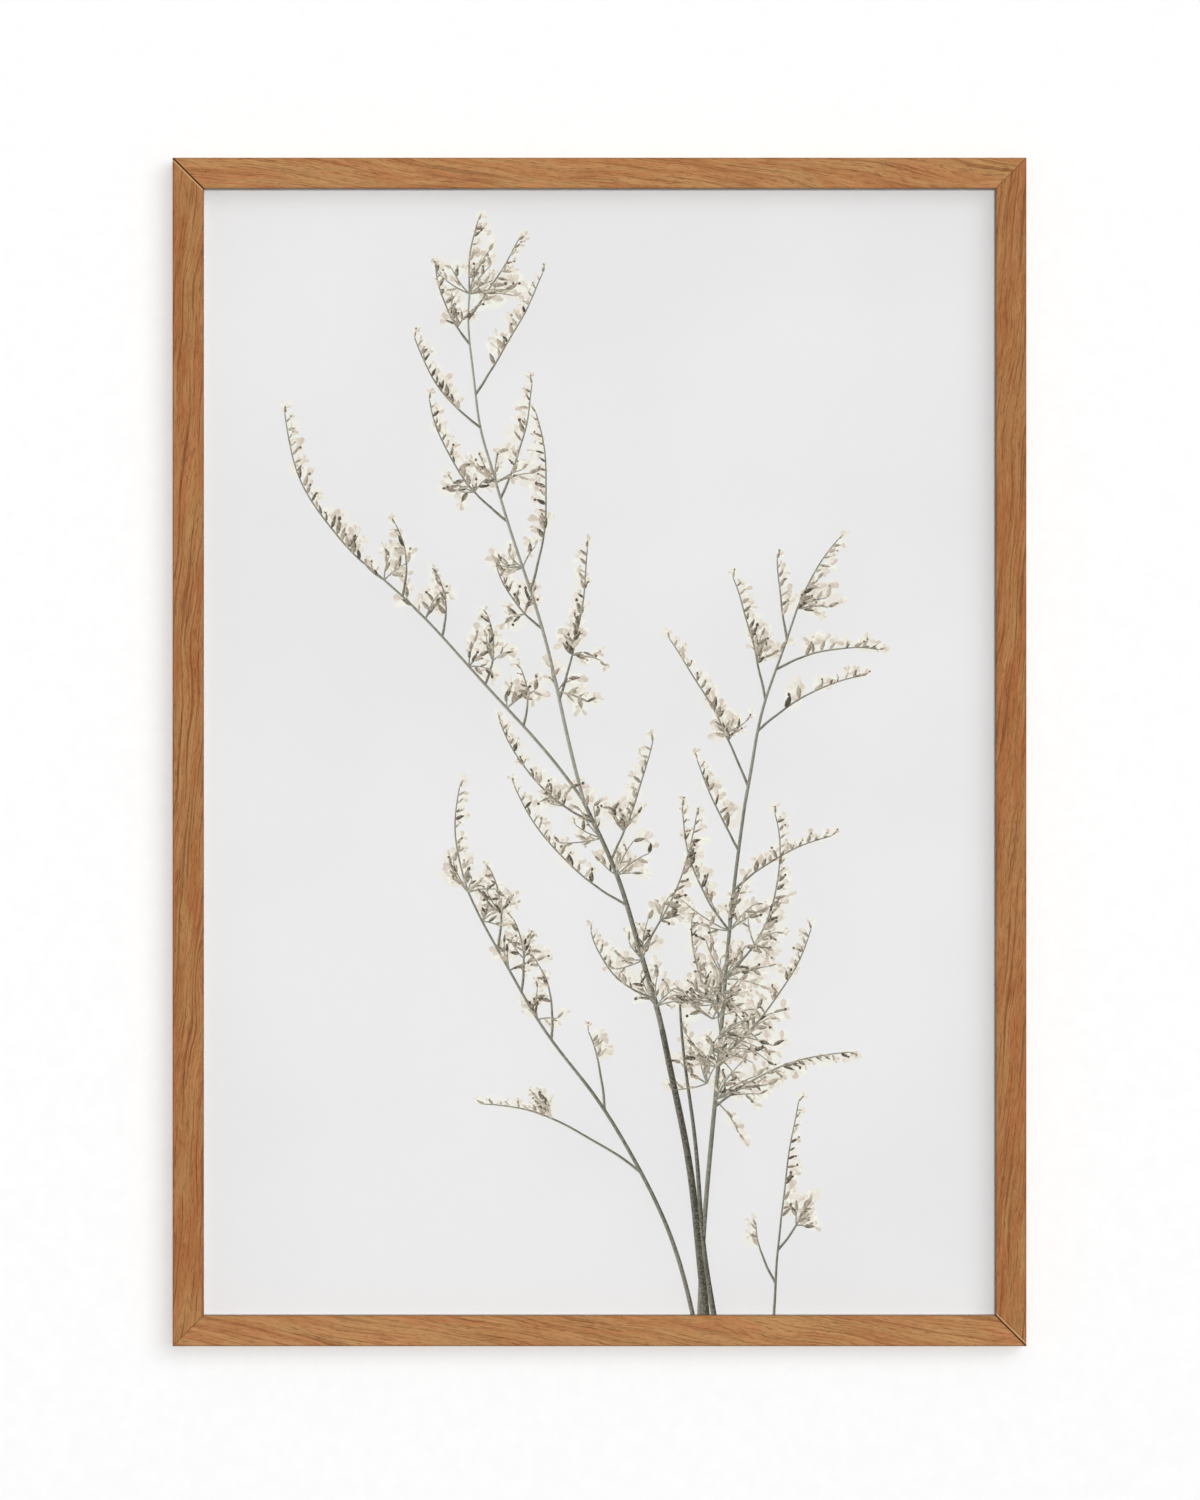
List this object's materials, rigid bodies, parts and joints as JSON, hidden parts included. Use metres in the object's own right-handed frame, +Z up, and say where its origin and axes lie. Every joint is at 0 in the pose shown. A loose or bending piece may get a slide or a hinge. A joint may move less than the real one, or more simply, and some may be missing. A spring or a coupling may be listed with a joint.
{
  "type": "wall picture frame",
  "caption": "Upright mitred wooden wall frame with a thin face, glazed full-size print, backing held by turn buttons, and D-ring hangers.",
  "frame": {"origin": "centre of the whole frame's box", "axes": "+Z up the frame's height, +Y from the picture to the wall, +X to the right as the picture is seen"},
  "size_m": [0.528, 0.025, 0.735],
  "materials": {
    "wood": "oiled, open grain",
    "glazing": "clear",
    "print": "matt printed paper",
    "spacer": "matt",
    "mount_board": "matt board",
    "filler_board": "corrugated",
    "fibreboard": "pressed fibreboard",
    "steel": "zinc plated",
    "rubber": "matt"
  },
  "bodies": {
    "frame": {"bottom_rail": "wood", "top_rail": "wood", "left_stile": "wood", "right_stile": "wood", "corner_v_nails": "steel", "glazing_sheet": "glazing", "art_print": "print", "mount_board": "mount_board", "filler_board": "filler_board", "back_panel": "fibreboard", "bottom_spacer": "spacer", "top_spacer": "spacer", "left_spacer": "spacer", "right_spacer": "spacer", "turn_button_screws": "steel", "hanger_screws": "steel", "left_hanger_strap": "steel", "right_hanger_strap": "steel", "left_bumper": "rubber", "right_bumper": "rubber"},
    "bottom_turn_button_left": {"bottom_turn_button_left": "steel"},
    "bottom_turn_button_right": {"bottom_turn_button_right": "steel"},
    "top_turn_button_left": {"top_turn_button_left": "steel"},
    "top_turn_button_right": {"top_turn_button_right": "steel"},
    "left_turn_button_lower": {"left_turn_button_lower": "steel"},
    "left_turn_button_middle": {"left_turn_button_middle": "steel"},
    "left_turn_button_upper": {"left_turn_button_upper": "steel"},
    "right_turn_button_lower": {"right_turn_button_lower": "steel"},
    "right_turn_button_middle": {"right_turn_button_middle": "steel"},
    "right_turn_button_upper": {"right_turn_button_upper": "steel"},
    "left_hanger_ring": {"left_hanger_ring": "steel"},
    "right_hanger_ring": {"right_hanger_ring": "steel"}
  },
  "joints": [
    {"name": "bottom_turn_button_left_pivot", "type": "hinge", "parent": "frame", "child": "bottom_turn_button_left", "pos_m": [-0.15, 0.00905, -0.361], "axis": [0, 1, 0], "range_deg": [-90, 90]},
    {"name": "bottom_turn_button_right_pivot", "type": "hinge", "parent": "frame", "child": "bottom_turn_button_right", "pos_m": [0.15, 0.00905, -0.361], "axis": [0, 1, 0], "range_deg": [-90, 90]},
    {"name": "top_turn_button_left_pivot", "type": "hinge", "parent": "frame", "child": "top_turn_button_left", "pos_m": [-0.15, 0.00905, 0.361], "axis": [0, 1, 0], "range_deg": [-90, 90]},
    {"name": "top_turn_button_right_pivot", "type": "hinge", "parent": "frame", "child": "top_turn_button_right", "pos_m": [0.15, 0.00905, 0.361], "axis": [0, 1, 0], "range_deg": [-90, 90]},
    {"name": "left_turn_button_lower_pivot", "type": "hinge", "parent": "frame", "child": "left_turn_button_lower", "pos_m": [-0.2575, 0.00905, -0.25], "axis": [0, 1, 0], "range_deg": [-90, 90]},
    {"name": "left_turn_button_middle_pivot", "type": "hinge", "parent": "frame", "child": "left_turn_button_middle", "pos_m": [-0.2575, 0.00905, 0], "axis": [0, 1, 0], "range_deg": [-90, 90]},
    {"name": "left_turn_button_upper_pivot", "type": "hinge", "parent": "frame", "child": "left_turn_button_upper", "pos_m": [-0.2575, 0.00905, 0.25], "axis": [0, 1, 0], "range_deg": [-90, 90]},
    {"name": "right_turn_button_lower_pivot", "type": "hinge", "parent": "frame", "child": "right_turn_button_lower", "pos_m": [0.2575, 0.00905, -0.25], "axis": [0, 1, 0], "range_deg": [-90, 90]},
    {"name": "right_turn_button_middle_pivot", "type": "hinge", "parent": "frame", "child": "right_turn_button_middle", "pos_m": [0.2575, 0.00905, 0], "axis": [0, 1, 0], "range_deg": [-90, 90]},
    {"name": "right_turn_button_upper_pivot", "type": "hinge", "parent": "frame", "child": "right_turn_button_upper", "pos_m": [0.2575, 0.00905, 0.25], "axis": [0, 1, 0], "range_deg": [-90, 90]},
    {"name": "left_hanger_ring_swing", "type": "hinge", "parent": "frame", "child": "left_hanger_ring", "pos_m": [-0.2575, 0.01038, 0.15], "axis": [-1, 0, 0], "range_deg": [0, 184]},
    {"name": "right_hanger_ring_swing", "type": "hinge", "parent": "frame", "child": "right_hanger_ring", "pos_m": [0.2575, 0.01038, 0.15], "axis": [-1, 0, 0], "range_deg": [0, 184]}
  ]
}
